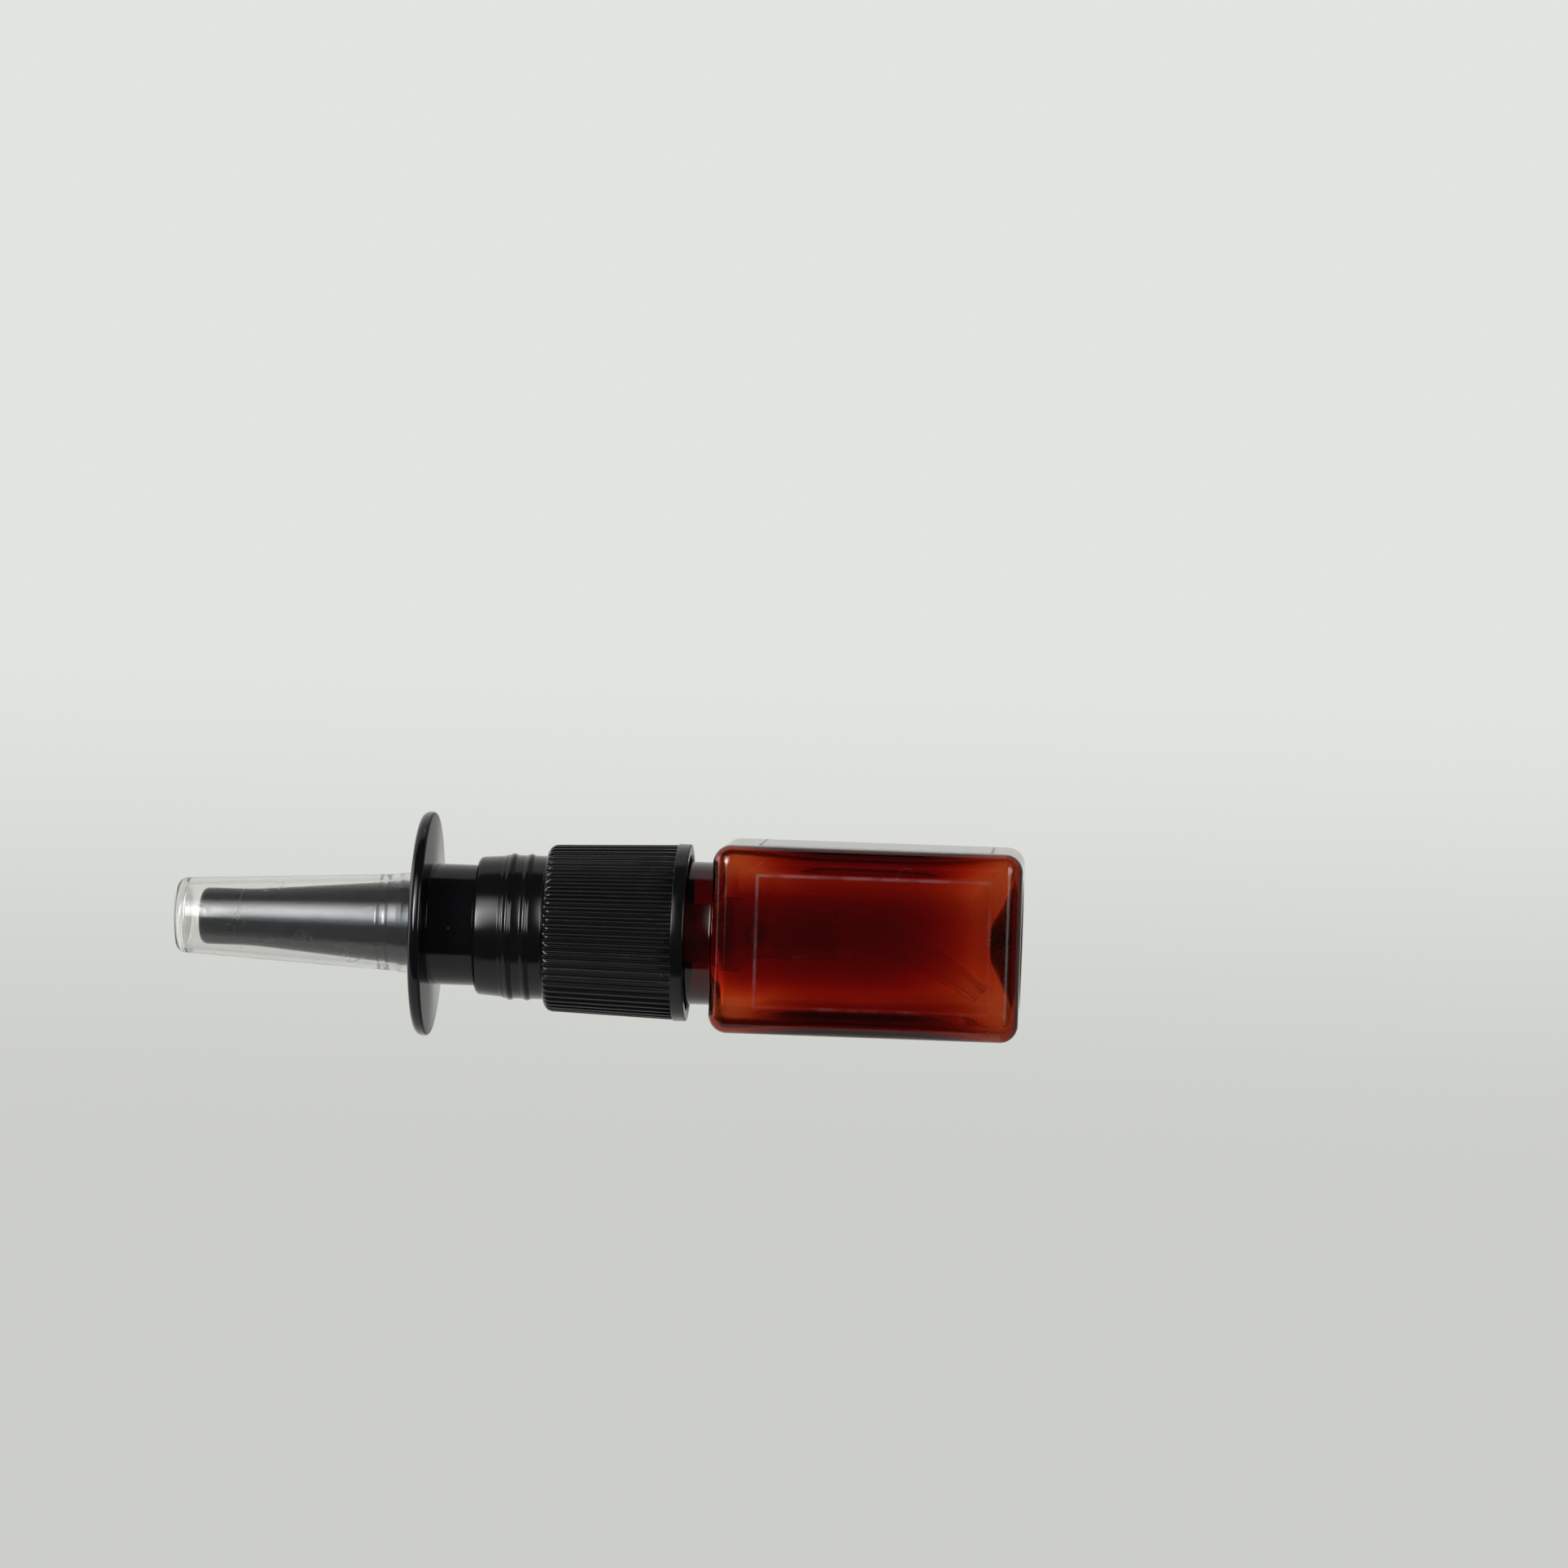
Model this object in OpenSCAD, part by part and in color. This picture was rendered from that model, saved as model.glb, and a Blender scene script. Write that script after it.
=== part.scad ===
// Square amber bottle with a screw-on nasal mist pump and a clear dust cap.
// The bottle stands upright: +Z runs up the axis and Z = 0 is the face it stands on.

/* [Bottle] */
// Width of the square body across its flat sides
bottle_w = 21.5; // [21.2:0.1:26]
// Height of the body up to the shoulder
bottle_h = 35.3; // [34.5:0.1:48]
// Radius on every outer edge of the body
bottle_edge_r = 2.1; // [1.6:0.1:2.4]
// Thickness of the body's wall and floor
bottle_wall = 1.0; // [0.8:0.05:1.3]
// Diameter of the hollow under the base
push_up_d = 14.8; // [10:0.2:15.4]
// Depth of the hollow under the base
push_up_depth = 2.0; // [1:0.1:2.4]
// Outer diameter of the neck
neck_od = 16.5; // [16:0.1:16.9]
// Thickness of the neck's wall
neck_wall = 1.25; // [1:0.05:1.4]
// Height of the neck from the shoulder to its lip
neck_h = 16.6; // [15.5:0.1:18]
// Fillet where the neck leaves the shoulder
neck_fillet = 0.35; // [0.2:0.05:0.4]
// Bevel on the inner and outer edge of the lip
lip_bevel = 0.25; // [0.1:0.05:0.4]

/* [Screw closure] */
// Bare neck left between the shoulder and the closure
closure_gap = 3.1; // [2:0.1:4]
// Outer diameter of the smooth band at the closure's lower edge
band_d = 20.5; // [20.3:0.1:22]
// Height of the smooth band
band_h = 1.5; // [1:0.1:2.5]
// Thickness of the closure's skirt, measured at the band
closure_wall = 1.25; // [1.1:0.05:1.3]
// Diameter over the ribs just above the band
rib_d_low = 20.2; // [20:0.1:20.3]
// Diameter over the ribs at the closure's top
rib_d_high = 19.3; // [19.2:0.1:20]
// Number of grip ribs around the closure
rib_count = 60; // [36:2:72]
// Depth of the grooves between the ribs
groove_depth = 0.32; // [0.2:0.02:0.36]
// Radius of the round cutter that leaves each groove
groove_r = 0.4; // [0.37:0.01:0.45]
// Radius of the closure's upper corner
closure_corner_r = 1.1; // [0.6:0.1:1.3]
// Thickness of the closure's roof
roof_t = 1.2; // [1:0.1:1.6]

/* [Turret] */
// Height of the turret above the closure's roof
turret_h = 8.0; // [7:0.1:10]
// Diameter of the turret at the roof
turret_d = 16.6; // [16.2:0.1:16.8]
// Diameter of the turret at its upper end
turret_top_d = 15.9; // [15.7:0.1:16.4]
// Height above the roof where the taper starts
taper_start = 4.9; // [4.6:0.1:5.5]
// Diameter over the two snap beads
bead_d = 17.0; // [16.9:0.05:17.2]
// Width of each snap bead
bead_w = 1.0; // [0.7:0.05:1.2]
// Height of the lower bead's middle above the roof
bead_low = 2.0; // [1.4:0.1:2.3]
// Distance from the lower bead to the upper bead
bead_pitch = 2.0; // [1.5:0.1:2.2]
// Radius of the turret's upper edge
turret_edge_r = 0.6; // [0.3:0.05:0.7]

/* [Pump] */
// Travel of the actuator
stroke = 4.5; // [3.5:0.1:4.9]
// Diameter of the piston bore
cylinder_bore = 5.4; // [5.2:0.1:5.6]
// Length of the return spring at rest
spring_len = 8.95; // [8.5:0.05:10]
// Wall of the pump cylinder
cylinder_wall = 0.7; // [0.6:0.05:0.9]
// Outer diameter of the housing's tail
tail_d = 4.4; // [4.2:0.1:5]
// Length of the tail below the spring seat
tail_len = 11.75; // [10:0.05:12.5]
// Diameter of the housing's flange
flange_d = 16.2; // [15.8:0.1:16.4]
// Thickness of the housing's flange
flange_t = 1.05; // [0.9:0.05:1.4]
// Thickness of the neck gasket
gasket_t = 0.7; // [0.6:0.05:1]
// Outer diameter of the locking ring
ring_d = 8.4; // [8:0.1:8.8]
// Height of the locking ring inside the housing
ring_h = 5.6; // [4.5:0.1:6.5]
// Height of the locking ring's hub above the housing
hub_h = 1.2; // [0.6:0.1:1.5]
// Outer diameter of the stem
stem_d = 3.2; // [3:0.1:3.4]
// Diameter of the stem's liquid channel
stem_bore = 1.4; // [1.1:0.1:1.5]
// Height of the collar that stops the stem under the locking ring
collar_h = 1.0; // [0.7:0.1:1.3]
// Height of the piston
piston_h = 4.2; // [3.6:0.1:4.6]
// Height of the stem's foot, which takes the spring
foot_h = 0.8; // [0.6:0.1:1]
// Wire diameter of the return spring
wire_d = 0.45; // [0.35:0.05:0.5]
// Number of turns of the return spring
spring_turns = 6.5; // [5:0.5:7]
// Diameter of the inlet ball
ball_d = 2.4; // [2.2:0.1:2.5]
// Lift of the inlet ball off its seat
ball_lift = 1.0; // [0.6:0.1:1.2]

/* [Dip tube] */
// Outer diameter of the dip tube
tube_d = 2.6; // [2.4:0.1:2.8]
// Inner diameter of the dip tube
tube_bore = 1.6; // [1.2:0.1:1.8]
// Length of tube held in the housing's tail
tube_grip = 7.3; // [5.5:0.1:7.5]
// Distance from the axis to the tube's curled lower end
tube_reach = 6.0; // [3:0.1:6.5]
// Height of the tube's lower end above the domed floor
tube_clear = 1.6; // [1.3:0.1:3]

/* [Actuator] */
// Room left between the turret and the finger flange at full travel
stop_room = 0.8; // [0.4:0.1:1.5]
// Length of skirt guided inside the turret at rest
skirt_guided = 3.3; // [2.5:0.1:3.4]
// Outer diameter of the skirt
skirt_d = 14.0; // [13.6:0.1:14.2]
// Wall of the skirt
skirt_wall = 1.0; // [0.8:0.05:1.3]
// Diameter of the finger flange
finger_d = 26.0; // [24:0.5:32]
// Thickness of the finger flange
finger_t = 1.5; // [1.3:0.1:2]
// Radius on the flange's nozzle-side edge
finger_edge_r = 0.9; // [0.5:0.05:1.1]
// Radius on the flange's lower edge
finger_low_r = 0.35; // [0.2:0.05:0.4]
// Length of the nozzle above the flange
nozzle_len = 25.4; // [22:0.1:30]
// Diameter of the nozzle at its tip
nozzle_tip_d = 6.6; // [6.2:0.1:7]
// Length of the straight stretch behind the nozzle's tip
nozzle_straight = 5.2; // [4:0.1:7]
// Diameter of the nozzle where its taper reaches the cap's seat
nozzle_base_d = 9.6; // [9.2:0.1:9.7]
// Radius on the nozzle's tip edge
nozzle_tip_r = 0.9; // [0.5:0.05:1.1]
// Thickness of the nozzle's end wall
nozzle_end_t = 0.8; // [0.6:0.05:1.1]
// Diameter of the spray hole
spray_hole_d = 0.4; // [0.3:0.05:0.6]
// Diameter of the channel that holds the swirl core
channel_d = 3.0; // [2.8:0.1:3.1]
// Diameter of the boss that grips the stem
boss_d = 5.6; // [5.2:0.1:6]
// Length of stem held in the boss
stem_grip = 6.0; // [4.5:0.1:6.3]
// Height of the coring inside the nozzle's foot, above the flange's underside
core_h = 7.6; // [5:0.1:9]
// Diameter of the ejector marks under the flange
ejector_d = 3.0; // [2:0.1:3.6]

/* [Dust cap] */
// Height of the ring on the nozzle's foot that the cap grips
cap_seat_h = 2.2; // [1.8:0.1:2.6]
// Outer diameter of the cap at its open rim
cap_rim_d = 11.6; // [11.6:0.1:12.4]
// Outer diameter just above the rim
cap_low_d = 11.2; // [11.2:0.1:11.6]
// Outer diameter of the cap near its closed end
cap_tip_d = 8.65; // [8.6:0.05:9.4]
// Wall of the cap
cap_wall = 0.65; // [0.5:0.05:0.7]
// Thickness of the cap's closed end
cap_end_t = 1.1; // [0.8:0.05:1.4]
// Room between the nozzle's tip and the cap's closed end
cap_room = 1.7; // [0.8:0.1:3]
// Radius on the cap's closed end
cap_edge_r = 1.0; // [0.6:0.05:1.1]

/* [Fits] */
// Radial clearance of a sliding or turning fit
slide_gap = 0.06; // [0.03:0.01:0.1]
// Radial clearance left in a pressed joint
press_gap = 0.02; // [0.01:0.01:0.04]
// Gap between faces that turn past or stop on each other
face_gap = 0.05; // [0.03:0.01:0.08]

/* [Hidden] */
$fn = 72;
ARC_STEPS = 8;
CUT = 1;

// Heights up the axis
lip_z = bottle_h + neck_h;
flange_low = lip_z + gasket_t;
flange_top = flange_low + flange_t;
roof_low = flange_top + face_gap;
closure_top = roof_low + roof_t;
closure_low = bottle_h + closure_gap;
ribs_low = closure_low + band_h;
turret_top = closure_top + turret_h;
finger_low = turret_top + stroke + stop_room;
finger_top = finger_low + finger_t;
skirt_low = turret_top - skirt_guided;
nozzle_top = finger_top + nozzle_len;
cap_inner_top = nozzle_top + cap_room;
cap_top = cap_inner_top + cap_end_t;
ring_low = flange_top - ring_h;
collar_top = ring_low - face_gap;
piston_top = collar_top - collar_h;
piston_low = piston_top - piston_h;
foot_low = piston_low - foot_h;
spring_low = foot_low - spring_len;
tail_low = spring_low - tail_len;
stem_web = 1.0;
stem_top = finger_low - stem_web;
boss_low = stem_top - stem_grip;

// Small set-backs shared by the radii below
edge = 0.15;
snap_hold = 0.2;
gasket_room = 0.3;
stem_waist = 0.3;
foot_room = 0.35;
spring_room = 0.3;
ball_hold = 0.2;
ball_room = 0.3;

// Radii
neck_r = neck_od / 2;
neck_bore_r = neck_r - neck_wall;
closure_bore_r = band_d / 2 - closure_wall;
recess_r = flange_d / 2 + slide_gap;
snap_r = flange_d / 2 - snap_hold;
gasket_r = snap_r - slide_gap;
turret_bore_r = skirt_d / 2 + slide_gap;
bore_r = cylinder_bore / 2;
cylinder_r = bore_r + cylinder_wall;
cup_r = ring_d / 2 + press_gap;
cup_wall = 0.9;
cup_outer_r = cup_r + cup_wall;
gasket_bore_r = cup_outer_r + gasket_room;
stem_r = stem_d / 2;
waist_r = stem_r - stem_waist;
foot_r = bore_r - foot_room;
tail_r = tail_d / 2;
socket_r = tube_d / 2 + press_gap;
ball_r = ball_d / 2;
cap_rim_wall = 0.8;
cap_seat_r = cap_rim_d / 2 - cap_rim_wall - slide_gap;
channel_r = channel_d / 2;
boss_r = boss_d / 2;
skirt_in_r = skirt_d / 2 - skirt_wall;

// Snap ridge inside the closure, just below the housing's flange
snap_top = flange_low - face_gap;
snap_low = lip_z + (gasket_t - face_gap) / 3;

// Ball valve below the spring seat: a lip keeps the ball in, a cone is its seat
lip_t = 0.6;
keeper_r = ball_r - ball_hold;
chamber_r = ball_r + ball_room;
chamber_top = spring_low - lip_t;
ball_stop_z = chamber_top - sqrt(ball_r * ball_r - keeper_r * keeper_r) - face_gap;
ball_z = ball_stop_z - ball_lift;
inlet_r = 0.75;
seat_low = ball_z - face_gap - ball_r * sqrt(2) + inlet_r;
socket_top = tail_low + tube_grip;

// Curl of the dip tube: an arc from the tail to the tube's lower end
tube_drop = tail_low - (push_up_depth + bottle_wall + tube_clear);
tube_bend_deg = 2 * atan(tube_reach / tube_drop);
tube_bend_r = tube_drop / sin(tube_bend_deg);

// Points of an arc, for profiles that are turned about Z
function arc(x, z, r, from, to) =
    [for (i = [0:ARC_STEPS]) let (a = from + (to - from) * i / ARC_STEPS) [x + r * cos(a), z + r * sin(a)]];

// Points of a rounded bead that stands h proud of radius r
function bead(r, z, w, h) =
    [for (i = [0:ARC_STEPS]) let (t = i / ARC_STEPS) [r + h * sin(180 * t), z - w / 2 + w * t]];

module tube(outer_r, inner_r, low, high) {
    translate([0, 0, low])
        difference() {
            cylinder(r = outer_r, h = high - low);
            translate([0, 0, -CUT]) cylinder(r = inner_r, h = high - low + 2 * CUT);
        }
}

module rounded_rectangle(w, h, r) {
    translate([-w / 2 + r, 0]) square([w - 2 * r, h]);
    translate([-w / 2, r]) square([w, h - 2 * r]);
    for (x = [-1, 1], y = [r, h - r]) translate([x * (w / 2 - r), y]) circle(r = r);
}

// A square block with the same radius on all twelve edges
module rounded_block(w, h, r) {
    flat = w - 2 * r;
    for (turn = [0, 90])
        rotate([90, 0, turn]) linear_extrude(flat, center = true) rounded_rectangle(w, h, r);
    for (x = [-1, 1], y = [-1, 1])
        translate([x * flat / 2, y * flat / 2, 0]) {
            translate([0, 0, r]) cylinder(r = r, h = h - 2 * r);
            for (z = [r, h - r]) translate([0, 0, z]) sphere(r = r);
        }
}

// Amber bottle: square body, domed base, round neck
module bottle() {
    dome_r = (push_up_d * push_up_d / 4 + push_up_depth * push_up_depth) / (2 * push_up_depth);
    dome_z = push_up_depth - dome_r;
    inner_w = bottle_w - 2 * bottle_wall;
    inner_h = bottle_h - 2 * bottle_wall;
    neck_outline = concat(
        [[neck_bore_r, bottle_h - bottle_wall - CUT / 2],
         [neck_r + neck_fillet, bottle_h - bottle_wall / 2]],
        arc(neck_r + neck_fillet, bottle_h + neck_fillet, neck_fillet, 270, 180),
        [[neck_r, lip_z - lip_bevel], [neck_r - lip_bevel, lip_z],
         [neck_bore_r + lip_bevel, lip_z], [neck_bore_r, lip_z - lip_bevel]]);
    color("#8a2a10", 0.75)
        difference() {
            union() {
                rounded_block(bottle_w, bottle_h, bottle_edge_r);
                rotate_extrude() polygon(neck_outline);
            }
            difference() {
                translate([0, 0, bottle_wall]) rounded_block(inner_w, inner_h, bottle_edge_r - bottle_wall);
                translate([0, 0, dome_z]) sphere(r = dome_r + bottle_wall);
            }
            translate([0, 0, bottle_h - 2 * bottle_wall]) cylinder(r = neck_bore_r, h = neck_h + CUT);
            translate([0, 0, dome_z]) sphere(r = dome_r);
        }
}

// Ribbed screw closure with the beaded turret that guides the actuator
module screw_closure() {
    band_r = band_d / 2;
    rib_low_r = rib_d_low / 2;
    rib_high_r = rib_d_high / 2;
    turret_r = turret_d / 2;
    turret_top_r = turret_top_d / 2;
    bead_h = (bead_d - turret_d) / 2;
    rib_len = closure_top - ribs_low;
    draft = atan((rib_low_r - rib_high_r) / rib_len);
    outline = concat(
        [[closure_bore_r + edge, closure_low], [band_r - edge, closure_low], [band_r, closure_low + edge],
         [band_r, ribs_low], [rib_low_r, ribs_low]],
        arc(rib_high_r - closure_corner_r, closure_top - closure_corner_r, closure_corner_r, 0, 90),
        [[turret_r, closure_top]],
        bead(turret_r, closure_top + bead_low, bead_w, bead_h),
        bead(turret_r, closure_top + bead_low + bead_pitch, bead_w, bead_h),
        [[turret_r - edge, closure_top + taper_start]],
        arc(turret_top_r - turret_edge_r, turret_top - turret_edge_r, turret_edge_r, 0, 90),
        [[turret_bore_r, turret_top], [turret_bore_r, roof_low], [recess_r, roof_low], [recess_r, snap_top],
         [snap_r, snap_top], [snap_r, snap_low], [closure_bore_r, snap_low],
         [closure_bore_r, closure_low + edge]]);
    color("#161618")
        difference() {
            rotate_extrude() polygon(outline);
            for (i = [0:rib_count - 1])
                rotate(i * 360 / rib_count)
                    translate([rib_low_r + groove_r - groove_depth, 0, ribs_low])
                        rotate([0, -draft, 0])
                            cylinder(r = groove_r, h = rib_len + CUT, $fn = 24);
        }
}

// Pump housing: flange on the neck, cup, cylinder, valve chamber and tail
module pump_housing() {
    step_z = spring_low - lip_t;
    outline = [
        [cup_r, flange_top], [flange_d / 2, flange_top], [flange_d / 2, flange_low],
        [cup_outer_r, flange_low], [cup_outer_r, ring_low - cup_wall],
        [cylinder_r, ring_low - 2 * cup_wall], [cylinder_r, step_z],
        [tail_r, step_z - (cylinder_r - tail_r)], [tail_r, tail_low],
        [socket_r, tail_low], [socket_r, socket_top], [inlet_r, socket_top],
        [inlet_r, seat_low], [chamber_r, seat_low + chamber_r - inlet_r], [chamber_r, chamber_top],
        [keeper_r, chamber_top], [keeper_r, spring_low],
        [bore_r, spring_low], [bore_r, ring_low], [cup_r, ring_low]];
    color("#e8e6de", 0.9) rotate_extrude() polygon(outline);
}

// Soft washer between the housing's flange and the bottle's lip
module neck_gasket() {
    color("#f4f2ea") tube(gasket_r, gasket_bore_r, lip_z, flange_low);
}

// Ring that locks the stem and piston into the housing and guides the stem
module locking_ring() {
    guide_r = stem_r + slide_gap;
    hub_wall = 1.4;
    hub_r = stem_r + hub_wall;
    bevel = 0.4;
    outline = [
        [guide_r, ring_low], [ring_d / 2, ring_low], [ring_d / 2, flange_top],
        [hub_r + bevel, flange_top], [hub_r, flange_top + hub_h],
        [guide_r + bevel, flange_top + hub_h], [guide_r, flange_top + hub_h - bevel]];
    color("#efefe9") rotate_extrude() polygon(outline);
}

// Hollow stem: pressed into the actuator, stopped by its collar, with a foot for the spring
module stem() {
    bevel = 0.3;
    inlet_d = 0.9;
    outline = [
        [stem_bore / 2, stem_top], [stem_r - bevel, stem_top], [stem_r, stem_top - bevel],
        [stem_r, collar_top], [foot_r, collar_top], [foot_r, piston_top],
        [waist_r, piston_top], [waist_r, piston_low], [foot_r, piston_low],
        [foot_r, foot_low], [0, foot_low], [0, piston_low], [stem_bore / 2, piston_low]];
    color("#f6f6f2")
        difference() {
            rotate_extrude() polygon(outline);
            translate([0, 0, piston_low + inlet_d])
                rotate([90, 0, 0]) cylinder(d = inlet_d, h = 2 * stem_d, center = true);
        }
}

// Piston: a soft sleeve on the stem with a sealing lip at each end
module piston() {
    lip_r = bore_r - slide_gap;
    sleeve_r = waist_r + press_gap;
    hollow_r = (lip_r + sleeve_r) / 2;
    lip_h = piston_h / 5;
    low = piston_low + press_gap;
    high = piston_top - press_gap;
    outline = [
        [sleeve_r, low], [lip_r, low], [lip_r, low + lip_h], [hollow_r, low + 2 * lip_h],
        [hollow_r, high - 2 * lip_h], [lip_r, high - lip_h], [lip_r, high], [sleeve_r, high]];
    color("#dfe6ea") rotate_extrude() polygon(outline);
}

// Return spring: one round wire wound as a helix between the seat and the stem's foot
spring_r = bore_r - wire_d / 2 - spring_room;
spring_start = spring_low + wire_d / 2 + face_gap;
spring_rise = foot_low - face_gap - wire_d / 2 - spring_start;
RING_SIDES = 6;
RINGS_PER_TURN = 14;
spring_rings = spring_turns * RINGS_PER_TURN;
spring_lean = atan(spring_rise / (spring_turns * 2 * PI * spring_r));
function spring_path(i) =
    let (a = 360 * i / RINGS_PER_TURN)
    [spring_r * cos(a), spring_r * sin(a), spring_start + spring_rise * i / spring_rings];
function wire_point(i, j) =
    let (a = 360 * i / RINGS_PER_TURN, b = 360 * j / RING_SIDES,
         out = wire_d / 2 * cos(b), up = wire_d / 2 * sin(b), tangent = [-sin(a), cos(a), 0])
    spring_path(i) + out * [cos(a), sin(a), 0]
        + up * ([0, 0, cos(spring_lean)] - sin(spring_lean) * tangent);
spring_self_gap = min([for (i = [0:spring_rings], k = [i + RINGS_PER_TURN / 2:spring_rings])
    norm(spring_path(i) - spring_path(k))]) - wire_d;

module return_spring() {
    points = [for (i = [0:spring_rings], j = [0:RING_SIDES - 1]) wire_point(i, j)];
    sides = [for (i = [0:spring_rings - 1], j = [0:RING_SIDES - 1])
        let (k = (j + 1) % RING_SIDES, a = i * RING_SIDES, b = a + RING_SIDES)
        each [[a + j, b + k, b + j], [a + j, a + k, b + k]]];
    last = spring_rings * RING_SIDES;
    ends = [for (j = [1:RING_SIDES - 2]) each [[0, j + 1, j], [last, last + j, last + j + 1]]];
    echo(spring_self_gap = spring_self_gap);
    color("#c8ccd0") polyhedron(points, concat(sides, ends));
}

// Steel ball that closes the housing's inlet
module check_ball() {
    color("#d0d4d8") translate([0, 0, ball_z]) sphere(r = ball_r);
}

// Dip tube: straight in the tail, then curling to a lower corner of the bottle
module dip_tube() {
    tube_r = tube_d / 2;
    color("#eef2f0", 0.7)
        union() {
            tube(tube_r, tube_bore / 2, tail_low, socket_top - face_gap);
            translate([-tube_bend_r, 0, tail_low])
                rotate([-90, 0, 0])
                    rotate_extrude(angle = tube_bend_deg)
                        translate([tube_bend_r, 0])
                            difference() {
                                circle(r = tube_r);
                                circle(r = tube_bore / 2);
                            }
        }
}

// Actuator: skirt, finger flange and nozzle in one moulding, cored from below
module actuator() {
    finger_r = finger_d / 2;
    tip_r = nozzle_tip_d / 2;
    base_r = nozzle_base_d / 2;
    seat_top = finger_top + cap_seat_h;
    straight_low = nozzle_top - nozzle_tip_r - nozzle_straight;
    blend = nozzle_straight / 3;
    slope = (base_r - tip_r) / (straight_low - seat_top);
    seat_bevel = 0.3;
    core_room = 0.9;
    core_r = boss_r + core_room;
    ejector_inset = 0.4;
    ejector_at = (skirt_d / 2 + finger_r) / 2 - ejector_inset;
    ejector_depth = 0.12;
    outline = concat(
        [[0, skirt_low], [skirt_d / 2, skirt_low], [skirt_d / 2, finger_low]],
        arc(finger_r - finger_low_r, finger_low + finger_low_r, finger_low_r, 270, 360),
        arc(finger_r - finger_edge_r, finger_top - finger_edge_r, finger_edge_r, 0, 90),
        [[cap_seat_r, finger_top], [cap_seat_r, seat_top - seat_bevel], [base_r, seat_top]],
        [for (i = [0:ARC_STEPS]) let (t = i / ARC_STEPS, z = straight_low - blend + 2 * blend * t)
            [tip_r + slope * blend * (1 - t) * (1 - t), z]],
        arc(tip_r - nozzle_tip_r, nozzle_top - nozzle_tip_r, nozzle_tip_r, 0, 90),
        [[0, nozzle_top]]);
    color("#161618")
        difference() {
            rotate_extrude() polygon(outline);
            tube(skirt_in_r, boss_r, skirt_low - CUT, finger_low);
            tube(core_r, boss_r, skirt_low - CUT, finger_low + core_h);
            translate([0, 0, skirt_low - CUT]) cylinder(r = boss_r + CUT, h = boss_low - skirt_low + CUT);
            translate([0, 0, skirt_low]) cylinder(r = stem_r + press_gap, h = stem_top - skirt_low);
            translate([0, 0, skirt_low]) cylinder(r = channel_r, h = nozzle_top - nozzle_end_t - skirt_low);
            cylinder(d = spray_hole_d, h = nozzle_top + CUT);
            for (side = [-1, 1])
                translate([side * ejector_at, 0, finger_low - CUT])
                    cylinder(d = ejector_d, h = CUT + ejector_depth);
        }
}

// Swirl core: a ribbed rod that fills the nozzle's channel and spins the liquid at the spray hole
module swirl_core() {
    flow_depth = 0.4;
    rod_r = channel_r - flow_depth;
    rib_r = channel_r - press_gap;
    rib_w = 0.6;
    inlet_room = 1.5;
    swirl_room = 1;
    low = stem_top + inlet_room;
    high = nozzle_top - nozzle_end_t - face_gap;
    color("#ececec")
        translate([0, 0, low])
            intersection() {
                cylinder(r = rib_r, h = high - low);
                union() {
                    cylinder(r = rod_r, h = high - low);
                    for (a = [0, 120, 240])
                        rotate(a)
                            translate([0, -rib_w / 2, 0]) cube([channel_d, rib_w, high - low - swirl_room]);
                }
            }
}

// Clear dust cap that grips the ring on the nozzle's foot
module dust_cap() {
    rim_r = cap_rim_d / 2;
    low_r = cap_low_d / 2;
    tip_r = cap_tip_d / 2;
    rim_bevel = 0.1;
    inner_bevel = 0.3;
    flare_len = 1.6;
    grip_top = finger_top + cap_seat_h;
    rim_top = grip_top - 2 * inner_bevel;
    flare_top = rim_top + flare_len;
    grip_r = cap_seat_r + slide_gap;
    inner_tip_r = tip_r - cap_wall;
    outline = concat(
        [[grip_r + edge, finger_top], [rim_r - rim_bevel, finger_top], [rim_r, finger_top + rim_bevel],
         [rim_r, rim_top], [low_r, flare_top]],
        arc(tip_r - cap_edge_r, cap_top - cap_edge_r, cap_edge_r, 0, 90),
        [[0, cap_top], [0, cap_inner_top], [inner_tip_r - inner_bevel, cap_inner_top],
         [inner_tip_r, cap_inner_top - inner_bevel], [low_r - cap_wall, flare_top],
         [grip_r, grip_top], [grip_r, finger_top + edge]]);
    color("#e4e8e6", 0.35) rotate_extrude() polygon(outline);
}

bottle();
screw_closure();
pump_housing();
neck_gasket();
locking_ring();
stem();
piston();
return_spring();
check_ball();
dip_tube();
actuator();
swirl_core();
dust_cap();
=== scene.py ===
import math

import bpy
import numpy as np
from mathutils import Matrix, Vector


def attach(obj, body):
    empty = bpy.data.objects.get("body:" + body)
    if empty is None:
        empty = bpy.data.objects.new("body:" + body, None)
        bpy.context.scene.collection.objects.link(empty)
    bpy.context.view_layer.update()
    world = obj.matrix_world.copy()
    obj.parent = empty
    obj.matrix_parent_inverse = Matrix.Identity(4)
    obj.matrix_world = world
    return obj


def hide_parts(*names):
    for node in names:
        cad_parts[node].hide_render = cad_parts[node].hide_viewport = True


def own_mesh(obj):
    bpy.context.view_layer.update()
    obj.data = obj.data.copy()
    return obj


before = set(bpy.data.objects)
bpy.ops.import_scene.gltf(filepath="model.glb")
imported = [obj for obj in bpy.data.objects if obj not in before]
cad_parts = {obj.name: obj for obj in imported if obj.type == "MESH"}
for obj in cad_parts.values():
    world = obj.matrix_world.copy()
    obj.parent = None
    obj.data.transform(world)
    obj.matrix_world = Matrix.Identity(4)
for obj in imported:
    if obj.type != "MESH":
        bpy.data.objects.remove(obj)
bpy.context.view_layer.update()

# Sizes are in millimetres; meshes are scaled to metres when they are made.
MM = 0.001

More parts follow.
